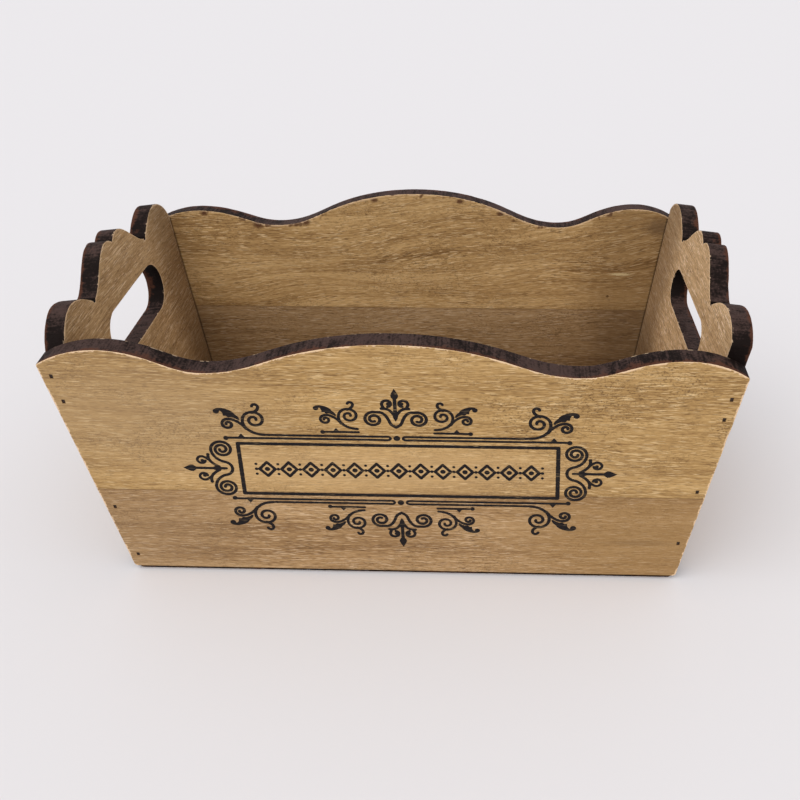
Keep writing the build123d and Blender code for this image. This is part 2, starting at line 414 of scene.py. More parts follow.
def face_triangles(rims, extra):
    """Triangles between the rims (the outline first, then holes) through the extra points."""
    flat = np.concatenate([*rims, extra])
    edges, start = [], 0
    for rim in rims:
        count = len(rim)
        edges += [(start + k, start + (k + 1) % count) for k in range(count)]
        start += count
    points = [Vector(p) for p in flat]
    made, _, faces, came_from, _, _ = delaunay_2d_cdt(points, edges, [], 1, SAME_POINT)
    if len(made) != len(flat):
        raise RuntimeError(f"the outline crosses itself: {len(flat)} points gave {len(made)}")
    order = np.array([ids[0] for ids in came_from])
    faces = order[np.array([list(f) for f in faces])]
    for rim in rims[1:]:
        faces = faces[~inside(flat[faces].mean(1), rim)]
    return flat, faces


SKEW_REACH = 8 * MM
POCKET_DEPTH = 1.1 * MM
WALL_ROWS = (0, 0.25, 0.5, 0.75, 1)
ARRIS_MIDDLE = 1 - cos(pi / 4)


class Shell:
    """The closed surface of a board while it is made.

    Each of its rows holds a vertex: its point in space, its place along, up and through the board, whether
    it lies on a cut, and how far that cut faces up.
    """

    def __init__(self, plate, outline):
        self.plate = plate
        self.outline = outline
        self.count = 0
        self.rows, self.faces = [], []
        ring = plate.inner_loops[0]
        ways = np.roll(ring, -1, 0) - ring
        squares = np.maximum((ways**2).sum(1), TINY)
        self.shifts = np.zeros_like(outline)
        for i, point in enumerate(outline):
            t = np.clip(((point - ring) * ways).sum(1) / squares, 0, 1)
            nearest = ring + t[:, None] * ways
            self.shifts[i] = nearest[np.linalg.norm(nearest - point, axis=1).argmin()] - point

    def skew(self, points):
        """How far the inner outline lies from the outer one near each point, at a slanting side."""
        result = np.zeros_like(points)
        for i, point in enumerate(points):
            gaps = np.linalg.norm(self.outline - point, axis=1)
            nearest = gaps.argmin()
            result[i] = self.shifts[nearest] * exp(-((gaps[nearest] / SKEW_REACH) ** 2))
        return result

    def add(self, points, depth, wall=0.0, facing=0.0, shift=None):
        """Add flat points at that depth, and give the number of the first."""
        if shift is not None:
            points = points + shift * np.reshape(depth / self.plate.thickness, (-1, 1))
        own = [np.broadcast_to(values, len(points)) for values in (depth, wall, facing)]
        self.rows.append(np.column_stack([self.plate.place(points, depth), points, *own]))
        start = self.count
        self.count += len(points)
        return start

    def add_face(self, rims, extra, inner=False):
        """Add a flat face between the rims, and give the number of the first vertex of each rim."""
        points, triangles = face_triangles(rims, extra)
        if inner:
            start = self.add(points, self.plate.thickness, shift=self.skew(points))
            triangles = triangles[:, ::-1]
        else:
            start = self.add(points, 0.0)
        self.faces += (triangles + start).tolist()
        return np.cumsum([start] + [len(rim) for rim in rims])

    def add_pocket(self, edge, outer_start):
        """Add the shallow pocket round the head of a brad."""
        charred = np.where(edge.open, 1.0, 0.0)
        rows = [outer_start]
        for depth in (edge.radius, POCKET_DEPTH):
            rows.append(self.add(edge.points, depth, charred))
        count = len(edge.points)
        self.faces.append([rows[-1] + k for k in range(count)][::-1])
        self.join(rows, count)

    def add_wall(self, edge, outer_start, inner_start):
        """Add a sawn wall with its worn arrises, from the outer face to the inner one."""
        charred = np.where(edge.open, 1.0, 0.0)
        facing, shift = -edge.into[:, 1], self.skew(edge.points)
        thickness, worn = self.plate.thickness, edge.radius * ARRIS_MIDDLE
        arris = edge.inset(worn)
        rows = [outer_start, self.add(arris, worn, 0.5 * charred, facing, shift)]
        for share in WALL_ROWS:
            depth = edge.radius + (thickness - 2 * edge.radius) * share
            rows.append(self.add(edge.points, depth, charred, facing, shift))
        rows += [self.add(arris, thickness - worn, 0.5 * charred, facing, shift), inner_start]
        self.join(rows, len(edge.points))

    def join(self, rows, count):
        """Faces between each row of that many vertices and the next."""
        for first, second in zip(rows, rows[1:]):
            for k in range(count):
                after = (k + 1) % count
                self.faces.append([first + after, first + k, second + k, second + after])


def make_board(name, node, outward, seed, beside=(), joined=True, sides_up_to=0.0):
    """A finely meshed board in the place of a frame node, with its places and distances as attributes.

    beside names the boards that it meets in the corners of the inside. joined says that its level edges
    meet other boards, and its upright edges do so up to sides_up_to.
    """
    settings = bpy.context.scene.basket_boards
    plate = Plate(node, outward)
    edges = board_edges(plate, settings, seed, joined, sides_up_to)
    extra = face_points(edges, settings, seed)
    through = [e for e in edges if not e.mouth]
    shell = Shell(plate, through[0].points)
    outer_starts = shell.add_face([e.inset(e.radius) for e in edges], extra)
    inner_starts = shell.add_face([e.inset(e.radius) for e in through], extra, inner=True)
    for edge, outer_start in zip(edges, outer_starts):
        if edge.mouth:
            shell.add_pocket(edge, outer_start)
        else:
            shell.add_wall(edge, outer_start, inner_starts[through.index(edge)])

    vertices, flat, depth, wall, facing = np.split(np.concatenate(shell.rows), (3, 5, 6, 7), axis=1)
    from_brad = distances(flat, [e.segments() for e in edges if e.mouth])
    from_brad[depth[:, 0] >= 0.5 * plate.thickness] = FAR
    from_corner = np.full(len(vertices), FAR)
    for other_node, way in beside:
        other = Plate(other_node, way)
        from_corner = np.minimum(from_corner, other.level - other.thickness - vertices @ other.normal)
    mesh = bpy.data.meshes.new(name)
    mesh.from_pydata(vertices.tolist(), [], shell.faces)
    set_places(mesh, flat, depth)
    attributes = {
        "corner_distance": from_corner,
        "foot_distance": vertices[:, 2],
        "cut_distance": distances(flat, [e.segments(e.segment_open) for e in through]),
        "cut_wall": wall[:, 0],
        "cut_up": facing[:, 0],
        "seam_distance": distances(flat, [through[0].segments(~through[0].segment_open)]),
        "brad_distance": from_brad,
    }
    for key, values in attributes.items():
        mesh.attributes.new(key, "FLOAT", "POINT").data.foreach_set("value", values.astype(np.float32))
    mesh.polygons.foreach_set("use_smooth", [len(f) == 4 for f in shell.faces])
    mesh.validate()
    board = add_piece(name, mesh)
    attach(board, "root")
    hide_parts(node)
    return board


def set_places(mesh, flat, depth):
    """Give the vertices their places along, up and through the board."""
    attribute = mesh.attributes.new("board_place", "FLOAT_VECTOR", "POINT")
    attribute.data.foreach_set("vector", np.hstack([flat, depth]).astype(np.float32).ravel())


def add_piece(name, mesh):
    piece = bpy.data.objects.new(name, mesh)
    bpy.context.scene.collection.objects.link(piece)
    return piece


# Ornament: flat ink shapes, drawn in print millimetres from the middle of the print

QUARTERS = ((1, 1), (-1, 1), (1, -1), (-1, -1))
PRINT_STEP = 0.5
DECIMALS = 3
MERGE_GAP = 1e-5
BALL_POINTS = 22
VOLUTE_POINTS = 14
UNEVEN_SHARE = 0.14
UNEVEN_WAVES = 0.8
UNEVEN_SEED = 3.1
END_SHARE = 0.98


def smooth_path(points, closed=False):
    """Points about a print step apart on a smooth curve through the given ones."""
    points = np.array(points, float)
    ends = np.roll(points, -1, 0) if closed else points[1:]
    ways = ends - points[: len(ends)]
    spans = np.linalg.norm(ways, axis=1)
    units = ways / spans[:, None]
    before = np.roll(units, 1, 0) if closed else np.vstack([units[:1], units])
    after = units if closed else np.vstack([units, units[-1:]])
    near = np.roll(spans, 1) if closed else np.append(spans[0], spans)
    far = spans if closed else np.append(spans, spans[-1])
    tangents = before * far[:, None] + after * near[:, None]
    tangents /= np.linalg.norm(tangents, axis=1)[:, None]
    path, _ = smooth_pieces(points, tangents, tangents, spans, PRINT_STEP)
    return np.array(path if closed else path + [points[-1]])


def volute(middle, outer, inner, start, turns):
    """Points that wind in from the outer to the inner radius, clockwise where turns is below zero."""
    count = round(abs(turns) * VOLUTE_POINTS)
    points = []
    for k in range(count + 1):
        angle = start + 2 * pi * turns * k / count
        radius = outer + (inner - outer) * k / count
        points.append((middle[0] + radius * cos(angle), middle[1] + radius * sin(angle)))
    return points


class Print:
    """Ink shapes, each drawn in the four quarters about the middle of the print."""

    def __init__(self):
        self.points = []
        self.shapes = []
        self.move = (0, 0)
        self.size = 1

    def shape(self, ring):
        ring = np.round(np.array(ring) * self.size + self.move, DECIMALS) + 0.0
        following = np.roll(ring, -1, 0)
        turn = (ring[:, 0] * following[:, 1] - ring[:, 1] * following[:, 0]).sum()
        for quarter in QUARTERS:
            turned = ring * quarter + 0.0
            if turn * quarter[0] * quarter[1] < 0:
                turned = turned[::-1]
            self.shapes.append(list(range(len(self.points), len(self.points) + len(turned))))
            self.points += [tuple(p) for p in turned]

    def ball(self, middle, radius):
        angles = np.linspace(0, 2 * pi, BALL_POINTS, endpoint=False)
        self.shape(np.stack([middle[0] + radius * np.cos(angles), middle[1] + radius * np.sin(angles)], 1))

    def stroke(self, points, width, end_ball=None):
        """A pen stroke with round ends and a slightly uneven width, and a ball at its end if asked."""
        path = smooth_path(points)
        ways = np.gradient(path, axis=0)
        across = np.stack([-ways[:, 1], ways[:, 0]], 1) / np.linalg.norm(ways, axis=1)[:, None]
        spots = path * UNEVEN_WAVES + self.move
        uneven = [1 + UNEVEN_SHARE * noise.noise(Vector((x, y, UNEVEN_SEED))) for x, y in spots]
        half = 0.5 * width * np.array(uneven)[:, None]
        left, right = path + across * half, path - across * half
        for k in range(len(path) - 1):
            self.shape([right[k], right[k + 1], left[k + 1], left[k]])
        self.ball(path[0], half[0, 0] * END_SHARE)
        self.ball(path[-1], end_ball or half[-1, 0] * END_SHARE)

    def bump(self, middle, half_base, rise):
        """A small pointed bump with hollow sides that stands on a rule."""
        shares = ((-1, 0), (1, 0), (0.55, 0.3), (0.15, 0.85), (0, 1), (-0.15, 0.85), (-0.55, 0.3))
        self.shape([(middle[0] + x * half_base, middle[1] + y * rise) for x, y in shares])

    def outline(self):
        """Triangles of all the shapes together, each place covered once."""
        points = [Vector(p) for p in self.points]
        made, _, faces, _, _, _ = delaunay_2d_cdt(points, [], self.shapes, 0, MERGE_GAP)
        made, same = np.unique(np.round([tuple(p) for p in made], DECIMALS), axis=0, return_inverse=True)
        faces = [same.reshape(-1)[list(f)].tolist() for f in faces]
        faces = [f for f in faces if len(set(f)) == len(f)]
        middles = np.array([made[f].mean(0) for f in faces])
        covered = np.zeros(len(faces), bool)
        order = np.argsort(middles[:, 0])
        levels = middles[order, 0]
        for shape in self.shapes:
            ring = np.array([self.points[k] for k in shape])
            start, end = np.searchsorted(levels, (ring[:, 0].min(), ring[:, 0].max()))
            near = order[start:end]
            covered[near] |= inside(middles[near], ring)
        return made, [faces[k] for k in np.flatnonzero(covered)]


def draw_scroll(ink, middle, size, width):
    """Two volutes, a curl and a leaf that spring from one trunk, about the middle of the larger volute."""
    ink.move, ink.size = middle, size
    trunk = [(-4.8, -10.4), (-1.8, -10.0), (1.4, -8.8), (3.9, -6.9), (5.6, -4.5), (6.3, -1.9)]
    ink.stroke(trunk + volute((0, 0), 6.3, 1.1, radians(0), 1.5), width, 0.8)
    branch = [(5.0, -6.2), (6.9, -3.4), (8.9, -1.6), (11.1, -0.2), (13.0, 0.35)]
    ink.stroke(branch + volute((14.5, -3.2), 3.6, 0.9, radians(90), -1.25), width, 0.85)
    curl = [(0.6, 5.0), (-1.3, 6.1), (-2.7, 7.9), (-2.8, 9.7), (-1.8, 10.7), (-0.4, 10.6), (0.3, 9.6)]
    ink.stroke(curl, width, 0.85)
    leaf = [
        (8.0, -0.3), (10.0, 0.8), (12.2, 1.7), (13.9, 1.6), (15.0, 2.7), (16.2, 2.6), (16.6, 4.5),
        (17.6, 6.0), (19.2, 6.2), (20.4, 7.1), (18.2, 8.1), (15.5, 7.7), (13.0, 6.7), (10.9, 5.1),
        (10.2, 3.9), (8.7, 2.4),
    ]
    ink.shape(smooth_path(leaf, closed=True))
    ink.ball((19.9, 5.8), 1.7)
    ink.move, ink.size = (0, 0), 1


def draw_crown(ink, width):
    """Palmette over the middle of the long rules."""
    swell = [(0, 31.4), (2.5, 33.3), (4.0, 36.9), (5.4, 39.6), (7.5, 41.5)]
    ink.stroke(swell + volute((11.9, 36.8), 5.2, 1.4, radians(105), -1.6), width, 0.9)
    ink.stroke([(0, 40), (0, 45), (0, 51)], 2.0)
    ink.shape([(0, 35.4), (1.1, 37.4), (1.6, 39.8), (1.2, 42.2), (0.75, 44.5), (0, 44.5)])
    ink.shape([(0, 50.2), (0.9, 50.6), (1.9, 52.2), (2.1, 53.4), (1.6, 54.9), (0.7, 56.7), (0, 57.9)])
    ink.stroke([(0.6, 39.5), (1.7, 41.5), (3.2, 43.3), (5.2, 44.2), (7.4, 44.3)], width * 0.95, 0.85)
    ink.stroke([(5.9, 44.4)] + volute((4.3, 47.5), 2.8, 1.9, radians(-32), 0.8), width * 0.95)
    ink.ball((3.6, 47.6), 1.1)


def draw_side(ink, width):
    """Palmette beside the short bars of the frame."""
    swell = [(91.9, 0), (92.6, 2.5), (94.5, 4.3), (97.1, 5.2), (99.4, 6.8), (101.2, 9.0), (102.2, 11.5)]
    ink.stroke(swell + volute((96.4, 13.9), 6.1, 1.2, radians(-5), 2.0), width, 0.9)
    ink.stroke([(95.4, 0), (104, 0), (113, 0)], 1.8)
    ink.shape([(96.8, 0), (104.4, 0), (102.2, 1.2), (100.4, 1.9), (98.3, 1.1)])
    ink.shape([(111.9, 0), (119.4, 0), (116.9, 1.5), (115.4, 2.3), (113.9, 2.4), (112.5, 1.2)])
    ink.stroke([(99.4, 1.2), (101.8, 3.0), (103.7, 5.2), (104.6, 7.6), (104.5, 10.0)], width, 1.0)
    ink.stroke([(104.6, 6.2)] + volute((108.4, 5.9), 2.8, 2.0, radians(140), -0.85), width * 0.9)
    ink.ball((108.1, 5.5), 1.1)


def draw_band(ink, width):
    """Row of lozenges and dots along the middle of the frame."""
    pitch = 12.1
    for k in range(7):
        x = k * pitch
        for side in (1, -1):
            ink.stroke([(x + side * 4.3, 0), (x + side * 2.15, 2.5), (x, 5.0)], width)
        ink.ball((x, 0), 1.5)
        ink.ball((x + pitch / 2, 3.6), 0.85)
        ink.ball((x + pitch / 2, 0), 1.0)


def draw_frame(ink, bar, rule):
    """Rectangle of bars, and the double rule along it with its bead and its bumps."""
    ink.stroke([(0, 18.35), (44, 18.35), (87.1, 18.35)], bar)
    ink.stroke([(87.1, 18.35), (87.1, 9), (87.1, 0)], bar * 1.1)
    lower = [(92, 22.35), (60, 22.35), (30, 22.35), (8, 22.35)]
    end = volute((4.6, 23.5), 1.15, 1.15, radians(270), -0.5)
    upper = [(8, 24.65), (30, 24.65), (60, 24.65), (71.6, 24.75)]
    ink.stroke(lower + end + upper, rule)
    ink.ball((93.1, 22.1), 1.45)
    ink.ball((0, 23.6), 1.85)
    ink.bump((84.6, 22.35), 2.9, 3.1)


def draw_print(settings):
    ink = Print()
    bar, rule, scroll = (v / MM for v in (settings.bar_width, settings.rule_width, settings.scroll_width))
    draw_frame(ink, bar, rule)
    draw_scroll(ink, (76.4, 35.15), 1, scroll)
    draw_scroll(ink, (25.05, 39.0), 0.873, scroll * 1.05)
    ink.stroke([(20.5, 27.6), (30, 27.6), (39.5, 27.5)], rule)
    ink.ball((39.9, 27.45), 1.3)
    ink.bump((32.5, 27.6), 2.7, 2.7)
    draw_crown(ink, scroll)
    draw_side(ink, scroll)
    draw_band(ink, scroll)
    return ink.outline()


def make_ornament(name):
    """The printed ornament as thin ink on the two boards of the front."""
    settings = bpy.context.scene.basket_ornament
    drawn, faces = draw_print(settings)
    used = sorted({k for face in faces for k in face})
    order = {k: i for i, k in enumerate(used)}
    tops = [[order[k] for k in face] for face in faces]
    drawn = drawn[used]
    narrowing = 1 + settings.taper * drawn[:, 1:]
    on_face = drawn * MM / narrowing + (settings.centre_along, settings.centre_up)
    plate = Plate("front_lower_board", FRONT)
    count = len(drawn)
    vertices = [plate.place(on_face, depth) for depth in (-settings.thickness, settings.sink)]
    edges = {edge for t in tops for edge in zip(t, t[1:] + t[:1])}
    walls = [(b, a, a + count, b + count) for a, b in edges if (b, a) not in edges]
    bottoms = [[k + count for k in reversed(t)] for t in tops]
    mesh = bpy.data.meshes.new(name)
    mesh.from_pydata(np.concatenate(vertices).tolist(), [], tops + walls + bottoms)
    set_places(mesh, np.tile(on_face, (2, 1)), np.zeros((2 * count, 1)))
    ornament = add_piece(name, mesh)
    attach(ornament, "root")
    return ornament


# Shader graphs

class Graph:
    """Adds nodes to a tree. Any input takes a value or another node's socket."""

    def __init__(self, tree):
        self.tree = tree

    def put(self, value, socket):
        if isinstance(value, NodeSocket):
            self.tree.links.new(value, socket)
        else:
            socket.default_value = value

    def add(self, kind, inputs=(), **settings):
        node = self.tree.nodes.new(kind)
        for key, value in settings.items():
            setattr(node, key, value)
        for key, value in dict(inputs).items():
            self.put(value, node.inputs[key])
        return node

    def math(self, operation, *values):
        return self.add("ShaderNodeMath", enumerate(values), operation=operation).outputs[0]

    def vector(self, operation, *values):
        node = self.add("ShaderNodeVectorMath", enumerate(values), operation=operation)
        return node.outputs["Value" if operation == "LENGTH" else "Vector"]

    def attribute(self, name, output="Fac"):
        return self.add("ShaderNodeAttribute", attribute_name=name).outputs[output]

    def split(self, vector):
        return self.add("ShaderNodeSeparateXYZ", {"Vector": vector}).outputs

    def join(self, x, y, z):
        return self.add("ShaderNodeCombineXYZ", {"X": x, "Y": y, "Z": z}).outputs[0]

    def centred(self, value, weight, more=0.0):
        """The value taken about its middle of one half, times the weight, plus more."""
        return self.math("MULTIPLY_ADD", self.math("SUBTRACT", value, 0.5), weight, more)

    def weigh(self, *shares):
        """Sum of (value, weight) shares, each value taken about its middle."""
        total = 0.0
        for value, weight in shares:
            total = self.centred(value, weight, total)
        return total

    def ramp(self, value, low, high, start=0.0, end=1.0):
        """Smooth step from start to end as value goes from low to high."""
        inputs = {"Value": value, "From Min": low, "From Max": high, "To Min": start, "To Max": end}
        return self.add("ShaderNodeMapRange", inputs, interpolation_type="SMOOTHSTEP").outputs["Result"]

    def mix(self, factor, first, second):
        first, second = (c if isinstance(c, NodeSocket) else (*c, 1) for c in (first, second))
        inputs = {0: factor, 6: first, 7: second}
        return self.add("ShaderNodeMix", inputs, data_type="RGBA").outputs[2]

    def layer(self, under, mask, strength, over):
        """The colour under, covered by the colour over as far as the mask and the strength say."""
        return self.mix(self.math("MULTIPLY", mask, strength), under, over)

    def give(self, **values):
        """The tree of a node group, with an output for each of the values."""
        for label in values:
            self.tree.interface.new_socket(label, in_out="OUTPUT", socket_type="NodeSocketFloat")
        given = self.tree.nodes.new("NodeGroupOutput").inputs
        for label, value in values.items():
            self.put(value, given[label])
        return self.tree

    def noise(self, place, size, seed, detail, roughness):
        """Noise from 0 to 1 whose grains have that size, one for each way or the same each way."""
        size = (size,) * 3 if isinstance(size, float) else size
        inputs = {
            "Vector": self.vector("DIVIDE", place, size), "W": seed, "Scale": 1.0, "Detail": detail,
            "Roughness": roughness,
        }
        return self.add("ShaderNodeTexNoise", inputs, noise_dimensions="4D").outputs[0]


VECTORS = ("Place", "Middle", "Half size")


def new_group(name, *labels):
    """The graph of a shader node group, and its input sockets."""
    tree = bpy.data.node_groups.new(name, "ShaderNodeTree")
    for label in labels:
        kind = "NodeSocketVector" if label in VECTORS else "NodeSocketFloat"
        tree.interface.new_socket(label, in_out="INPUT", socket_type=kind)
    taken = tree.nodes.new("NodeGroupInput").outputs
    return Graph(tree), *(taken[label] for label in labels)


def use_group(graph, name, build, **inputs):
    """The outputs of the node group of that name, built the first time that it is asked for."""
    node = graph.add("ShaderNodeGroup", node_tree=bpy.data.node_groups.get(name) or build(name))
    for key, value in inputs.items():
        graph.put(value, node.inputs[key.replace("_", " ")])
    return node.outputs


# Marks in brushed wood: size along, up and through the board, detail and roughness of each kind
GRAIN_MARKS = {
    "drift": ((0.15, 0.05, 0.05), 1, 0.5),
    "shake": ((0.03, 0.006, 0.006), 1, 0.5),
    "bands": ((0.20, 0.016, 0.02), 2, 0.5),
    "lines": ((0.11, 0.0042, 0.02), 2, 0.55),
    "streaks": ((0.045, 0.0015, 0.002), 2, 0.6),
    "fibres": ((0.020, 0.00056, 0.0008), 2, 0.7),
    "grit": ((0.0038, 0.00052, 0.0008), 1, 0.6),
    "patches": ((0.05, 0.018, 0.02), 2, 0.5),
    "pores": ((0.0045, 0.0005, 0.0007), 1, 0.5),
    "flecks": ((0.0075, 0.00048, 0.0008), 1, 0.5),
    "speckle": ((0.0014, 0.0009, 0.0015), 2, 0.8),
    "soil": ((0.045, 0.025, 0.02), 2, 0.6),
}
# Where the noise of a kind starts, so that kinds of like size don't fall together
MARK_STARTS = {"pores": (0.4, 0.2, 0.1), "flecks": (0.31, 0.17, 0.0), "soil": (0.07, 0.9, 0.0)}
SWING = 80 * MM
SHAKE = 0.6 * MM
# What a value is multiplied by, and what is added
LINE_WEIGHT = (1.1, 0.35)
PORE_LEVEL = (-0.14, 0.675)
FLECK_LEVEL = (-0.16, 0.67)
# From which value to which each mask grows
RANGES = {
    "tone": (-0.5, 0.5), "mark": (-0.01, 0.07), "speckle": (0.5, 0.66), "soil": (0.42, 0.66),
    "char": (0.42, 0.62), "singe": (0.35, 0.95), "ash_and_lit_top": (-0.35, 0.75), "chips": (0.6, 0.66),
    "outer": (0.76, 1.0), "inner": (0.04, 0.09), "upward": (0.5, 1.0), "uneven": (-0.15, 0.15),
    "blot": (0.5, 0.7), "wide blot": (0.5, 0.74), "inside": (0.6, 0.95), "dark": (0.0, 0.5),
    "light": (0.45, 1.0), "thin": (0.45, 0.7), "rust": (0.45, 0.65), "dull": (0.4, 0.6),
}


def build_grain(name):
    """Brushed open-grained wood: broad tones, growth lines, fine fibres, dark pores, pale flecks and dirt."""
    graph, place, seed, figure, slant = new_group(name, "Place", "Seed", "Figure", "Slant")

    def marks(kind, at):
        size, detail, roughness = GRAIN_MARKS[kind]
        if kind in MARK_STARTS:
            at = graph.vector("ADD", at, MARK_STARTS[kind])
        return graph.noise(at, size, seed, detail, roughness)

    along, up, through = graph.split(place)
    sway = graph.centred(marks("drift", place), graph.math("MULTIPLY", figure, SWING))
    sway = graph.centred(marks("shake", place), SHAKE, sway)
    sway = graph.math("MULTIPLY_ADD", along, slant, sway)
    bent = graph.join(along, graph.math("ADD", up, sway), through)
    bands, lines, streaks, fibres = (marks(k, bent) for k in ("bands", "lines", "streaks", "fibres"))
    grit = marks("grit", place)
    line_weight = graph.math("MULTIPLY_ADD", figure, *LINE_WEIGHT)
    tone = graph.weigh((bands, 0.85), (lines, line_weight), (streaks, 0.6), (fibres, 1.0), (grit, 0.75))
    patches = marks("patches", place)
    pores, flecks = marks("pores", bent), marks("flecks", bent)
    pore_level = graph.math("MULTIPLY_ADD", patches, *PORE_LEVEL)
    fleck_level = graph.math("MULTIPLY_ADD", patches, *FLECK_LEVEL)
    speckle = graph.ramp(marks("speckle", place), *RANGES["speckle"])
    soiled = graph.ramp(marks("soil", place), *RANGES["soil"])
    return graph.give(
        Tone=graph.ramp(tone, *RANGES["tone"]),
        Pores=graph.ramp(graph.math("SUBTRACT", pores, pore_level), *RANGES["mark"]),
        Flecks=graph.ramp(graph.math("SUBTRACT", flecks, fleck_level), *RANGES["mark"]),
        Dirt=graph.math("MULTIPLY", speckle, soiled),
        Height=graph.weigh((fibres, 0.7), (pores, -0.5), (grit, 0.3)),
    )


# Marks of a scorched cut: size along, up and through, seed, detail and roughness of each kind
SCORCH_MARKS = {
    "ragged": (0.0016, 0.0, 2, 0.6),
    "wander": (0.009, 0.0, 2, 0.5),
    "saw": ((0.0011, 0.0011, 0.03), 0.0, 2, 0.6),
    "blotch": ((0.0035, 0.0035, 0.006), 2.0, 2, 0.6),
    "broad": (0.05, 3.0, 1, 0.5),
    "speck": (0.0011, 0.0, 1, 0.6),
    "chip": (0.0028, 5.0, 1, 0.6),
    "blot": ((0.007, 0.007, 0.02), 4.0, 2, 0.6),
}
RIM_WIDTH = 0.7 * MM
RIM_SOFTNESS = 0.35 * MM
HALO_REACH = 6 * MM
HALO_FADE = (-3 * MM, 0.3 * MM)


def build_scorch(name):
    """Scorched saw cut: where it is charred, singed, ashy or rubbed bare, where it gets painted light (greyer
    on its upward-facing side, a pale painted highlight along the arris), and its saw marks.
    """
    graph, place, distance, wall, cut_up, thickness, seed, halo = new_group(
        name, "Place", "Cut distance", "Cut wall", "Cut up", "Thickness", "Seed", "Halo")

    def marks(kind):
        size, own_seed, detail, roughness = SCORCH_MARKS[kind]
        return graph.noise(place, size, graph.math("ADD", seed, own_seed), detail, roughness)

    ragged, wander, saw, blotch, broad, speck, chip, blot = (marks(kind) for kind in SCORCH_MARKS)
    char = graph.ramp(graph.centred(ragged, 0.6, wall), *RANGES["char"])
    burn = graph.math("SUBTRACT", 1.0, graph.math("DIVIDE", graph.split(place)[2], thickness))
    singe = graph.weigh((burn, 1.1), (wander, 1.6), (saw, 0.5), (blotch, 1.5), (broad, 1.5), (speck, 0.6))
    singe = graph.math("ADD", singe, graph.ramp(burn, *RANGES["outer"], 0.0, 0.5))
    dusty_and_lit = graph.weigh((saw, 1.5), (blotch, 1.6), (wander, 1.0), (broad, -2.0), (speck, 1.5))
    # Painted light: the upward-facing side of a cut is made greyer, over the ashes
    dusty_and_lit = graph.math("ADD", dusty_and_lit, graph.ramp(cut_up, *RANGES["upward"], -1.0, 0.3))
    # Pale line along the arris of a face: rubbed bare wood with a painted highlight
    uneven = graph.ramp(graph.weigh((wander, 1.0), (ragged, 0.8)), *RANGES["uneven"], 0.15, 1.5)
    past_rim = graph.math("SUBTRACT", distance, graph.math("MULTIPLY", uneven, RIM_WIDTH))
    rim = graph.ramp(past_rim, -RIM_SOFTNESS, RIM_SOFTNESS, 1.0, 0.0)
    chips, from_inside = graph.ramp(chip, *RANGES["chips"]), graph.ramp(burn, *RANGES["inner"], 1.0, 0.0)
    reach = graph.math("MULTIPLY", halo, HALO_REACH)
    reach = graph.math("MULTIPLY", graph.ramp(blot, *RANGES["wide blot"]), reach)
    near = graph.ramp(graph.math("SUBTRACT", distance, reach), *HALO_FADE, 1.0, 0.0)
    return graph.give(
        Char=char,
        Singe=graph.ramp(singe, *RANGES["singe"]),
        Ash=graph.ramp(dusty_and_lit, *RANGES["ash_and_lit_top"]),
        Rim=graph.math("MULTIPLY", rim, graph.math("SUBTRACT", 1.0, char)),
        Chips=graph.math("MULTIPLY", chips, from_inside),
        Halo=graph.math("MULTIPLY", near, graph.ramp(blot, *RANGES["blot"])),
        Height=graph.weigh((saw, 1.0), (ragged, 0.7), (blotch, 0.8)),
    )


SPOT_GRAIN = (0.0012, 0.0008, 0.002)
SPOT_UNEVEN = 0.9
SPOT_LIMIT = 1.05


def build_spot(name):
    """One soft-edged spot of a given middle and half size on a board."""
    graph, place, middle, half_size, softness = new_group(name, "Place", "Middle", "Half size", "Softness")
    away = graph.vector("DIVIDE", graph.vector("SUBTRACT", place, middle), half_size)
    ragged = graph.noise(place, SPOT_GRAIN, 0.0, 2, 0.6)
    reach = graph.centred(ragged, SPOT_UNEVEN, graph.vector("LENGTH", away))
    start = graph.math("SUBTRACT", SPOT_LIMIT, softness)
    return graph.give(Mask=graph.ramp(reach, start, SPOT_LIMIT, 1.0, 0.0))


# Painted shade inside the boards: its reach from the corners and the foot, its darkness near one and near
# both; then the width of the dark line at a corner joint
CORNER_REACH = 50 * MM
FOOT_REACH = (3 * MM, 110 * MM)
CORNER_LINE = (0.2 * MM, 1.3 * MM)
EITHER_PAINTED_SHADE = 0.6
BOTH_PAINTED_SHADE = 0.4


def build_painted_shade(name):
    """Painted shade on the inside of a board, darker towards its foot and the corners, and a dark line where
    boards meet.
    """
    graph, place, thickness, corner_distance, foot_distance, lean = new_group(
        name, "Place", "Thickness", "Corner distance", "Foot distance", "Lean")
    along, _, through = graph.split(place)
    leaning = graph.math("MULTIPLY_ADD", along, lean, corner_distance)
    corner = graph.ramp(leaning, 0.0, CORNER_REACH, 1.0, 0.0)
    foot = graph.ramp(foot_distance, *FOOT_REACH, 1.0, 0.0)
    either = graph.math("MULTIPLY", graph.math("MAXIMUM", corner, foot), EITHER_PAINTED_SHADE)
    broad = graph.math("MULTIPLY_ADD", graph.math("MULTIPLY", corner, foot), BOTH_PAINTED_SHADE, either)
    inside_face = graph.ramp(graph.math("DIVIDE", through, thickness), *RANGES["inside"])
    line = graph.ramp(corner_distance, *CORNER_LINE, 1.0, 0.0)
    return graph.give(
        Broad=graph.math("MULTIPLY", broad, inside_face), Line=graph.math("MULTIPLY", line, inside_face))


def new_material(name):
    material = bpy.data.materials.new(name)
    material.use_nodes = True
    return material, Graph(material.node_tree), material.node_tree.nodes["Principled BSDF"]


# How much of each covering shows where its mask is full
COVER = {
    "flecks": 0.75, "pores": 0.5, "corner line": 0.6, "brad line": 0.6, "halo": 0.8, "ash_and_lit_top": 0.9,
    "singe": 0.75, "chips": 0.5,
}


